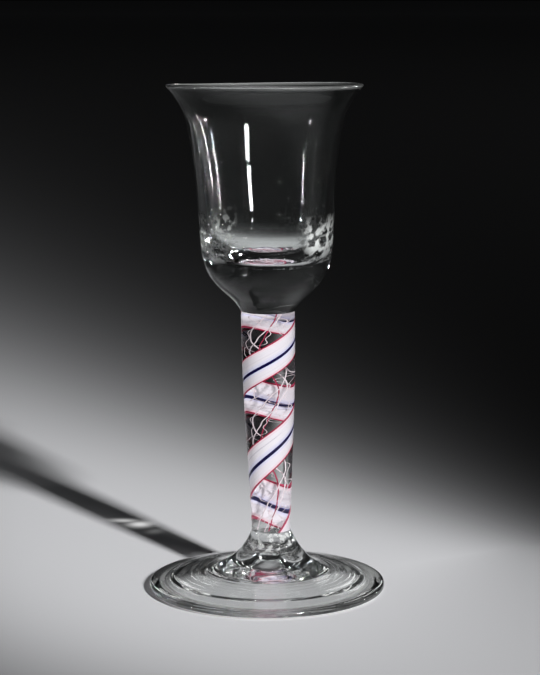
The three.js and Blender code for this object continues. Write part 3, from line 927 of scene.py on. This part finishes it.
def paintedGatheredLight(tree, place):
    # painted light, the paper's glow: the brightest of the pools, each a bell of (long offset over half
    # length) squared plus (wide offset over half width) squared, and of the rings, each a bell of (offset
    # over half width) squared on its lit side
    paintedGlow = 0.0
    for x, y, halfLong, halfWide, degrees, strength in paintedPools.values():
        turn = np.radians(degrees)
        offset = vectorMath(tree, "SUBTRACT", place, (x, y, 0))
        u = dotted(tree, offset, (np.cos(turn) / halfLong, np.sin(turn) / halfLong, 0))
        v = dotted(tree, offset, (-np.sin(turn) / halfWide, np.cos(turn) / halfWide, 0))
        squares = calculate(tree, "ADD", times(tree, u, u), times(tree, v, v))
        paintedGlow = calculate(tree, "MAXIMUM", paintedGlow, bell(tree, squares, strength))
    out = vectorMath(tree, "LENGTH", place, output="Value")
    for radius, half, strength, degrees in paintedPoolRings.values():
        turn = np.radians(degrees)
        off = calculate(tree, "DIVIDE", calculate(tree, "SUBTRACT", out, radius), half)
        towards = calculate(tree, "DIVIDE", dotted(tree, place, (np.sin(turn), -np.cos(turn), 0)), out)
        lit = remap(tree, towards, -litSpread, litSpread, 0.0, strength)
        paintedGlow = calculate(tree, "MAXIMUM", paintedGlow, bell(tree, times(tree, off, off), lit))
    return paintedGlow


def paperFloor():
    # one square of grey paper with a painted light pool and painted gathered light, its fibres a faint mottle
    # and bump
    f = floorLook
    material, tree = newMaterial("paintedLightPoolPaper")
    place = objectPlace(tree)
    fibres = noise(tree, place, f["fibres"], 3.0)
    grey = times(tree, paintedLightLevel(tree, place), remap(tree, fibres, 0.0, 1.0, *f["mottle"]))
    setSurface(tree, principled(tree, {
        "Base Color": scaled(tree, f["cool"], grey), "Roughness": f["roughness"], "Specular IOR Level": 0.0,
        "Normal": raised(tree, fibres, f["bumpHeight"], f["bump"]), "Emission Color": (1, 1, 1, 1),
        "Emission Strength": paintedGatheredLight(tree, place)}))
    mesh = bpy.data.meshes.new("paper_floor")
    h, z = f["half"], f["level"]
    mesh.from_pydata([(-h, -h, z), (h, -h, z), (h, h, z), (-h, h, z)], [], [(0, 1, 2, 3)])
    mesh.materials.append(material)
    floor = bpy.data.objects.new("paper_floor", mesh)
    scene.collection.objects.link(floor)


paperFloor()


# Light: a tall narrow window to the right of the camera, soft fills, thin strips, and a dark room

# each lamp: azimuth to the right of the camera, distance (m), lowest and highest elevation, width (degrees),
# radiance
key = {"key": (30.5, 4.0, 22, 30.5, 3.8, 520)}
# seen in the glass only
glints = {
    "window": (31.5, 4.0, 2.5, 8.7, 6.8, 100),
    "windowFoot": (30, 4.0, 1.0, 1.7, 3.5, 80),
    "leftStrip": (-76, 3.0, 0.0, 6.4, 0.4, 480),
    "rightStrip": (108, 3.0, -1, 7.6, 0.4, 540),
    "farRightStrip": (132, 3.0, -3, 10, 0.7, 140),
    "lowLeft": (-36, 0.5, -4.5, -1.5, 44, 0.6),
    "lowRight": (36, 0.5, -4.5, -1.5, 44, 0.5),
}
# falling on the canes alone, for the light that the glass round them gathers
fills = {
    "leftFill": (-65, 2.0, 0.5, 14, 24, 14),
    "frontFill": (-15, 2.0, 1, 14, 20, 4),
}
# seen in the foot alone, where they catch the lines that its tool left
sheens = {
    "backSheen": (180, 3.0, 45, 47, 26, 4),
    "leftSheen": (192.5, 3.0, 12, 34, 1.6, 3.2),
    "rightSheen": (168, 3.0, 12, 34, 1.6, 3.2),
}
lampCentre = 0.08  # height in metres that the elevations are measured from
# the room's strength on dull surfaces, and where it is seen in the glass
room = {"ambient": 0.022, "seenInGlass": 0.009, "colour": (0.95, 0.98, 1.0, 1)}


def stripLamp(name, azimuth, distance, lowest, highest, width, radiance):
    # an upright lamp between two elevations, as wide as an angle, and facing the stem
    data = bpy.data.lights.new(name, "AREA")
    low, high = distance * np.tan(np.radians([lowest, highest]))
    data.shape = "RECTANGLE"
    data.size = 2 * distance * np.tan(np.radians(width / 2))
    data.size_y = high - low
    data.energy = radiance * np.pi * data.size * data.size_y
    lamp = bpy.data.objects.new(name, data)
    turn = np.radians(azimuth)
    lamp.location = (distance * np.sin(turn), -distance * np.cos(turn), (low + high) / 2 + lampCentre)
    lamp.rotation_euler = (np.pi / 2, 0, turn)
    scene.collection.objects.link(lamp)
    lamp.visible_camera = False
    return lamp


def hangLamps(looks, inGlass, pieces=None):
    # lamps that only show in glass, or else only light dull surfaces, of all pieces or of those given
    for name, look in looks.items():
        lamp = stripLamp(name, *look)
        lamp.visible_diffuse = not inGlass
        lamp.visible_glossy = inGlass
        lamp.visible_transmission = inGlass
        if pieces:
            lamp.light_linking.receiver_collection = pieces


def grouped(name, pieces):
    group = bpy.data.collections.new(name)
    for piece in pieces:
        group.objects.link(piece)
    return group


hangLamps(key, False)
hangLamps(glints, True)
hangLamps(fills, False, grouped("litByFills", [o for o in scene.objects if o.name.endswith("_cane")]))
hangLamps(sheens, True, grouped("onlyFoot", [footSkin]))


def darkRoom():
    # a dim light all round, dimmer where it is seen in the glass and black in the picture
    world = bpy.data.worlds.new("darkRoom")
    world.use_nodes = True
    tree = world.node_tree
    tree.nodes.clear()
    path = addNode(tree, "ShaderNodeLightPath").outputs
    seen = calculate(tree, "MAXIMUM", path["Is Glossy Ray"], path["Is Transmission Ray"])
    dimmer = times(tree, seen, room["seenInGlass"] - room["ambient"])
    strength = calculate(tree, "ADD", dimmer, room["ambient"])
    strength = times(tree, strength, calculate(tree, "SUBTRACT", 1.0, path["Is Camera Ray"]))
    air = addNode(tree, "ShaderNodeBackground", {"Color": room["colour"], "Strength": strength})
    addNode(tree, "ShaderNodeOutputWorld", {"Surface": air.outputs[0]})
    scene.world = world


darkRoom()

# mm, metres and degrees
view = {"lens": 114.3, "sensor": 36, "place": (0.001, -0.68775, 0.19406), "down": 9.122}
data = bpy.data.cameras.new("camera")
data.lens = view["lens"]
data.sensor_width = view["sensor"]
camera = bpy.data.objects.new("camera", data)
camera.location = view["place"]
camera.rotation_euler = (np.radians(90 - view["down"]), 0, 0)
scene.collection.objects.link(camera)
scene.camera = camera
scene.view_settings.view_transform = "Standard"
scene.cycles.max_bounces = 24
scene.cycles.glossy_bounces = 8
scene.cycles.transmission_bounces = 24
scene.cycles.transparent_max_bounces = 32
scene.cycles.sample_clamp_indirect = 0
print("floor, light and camera set")
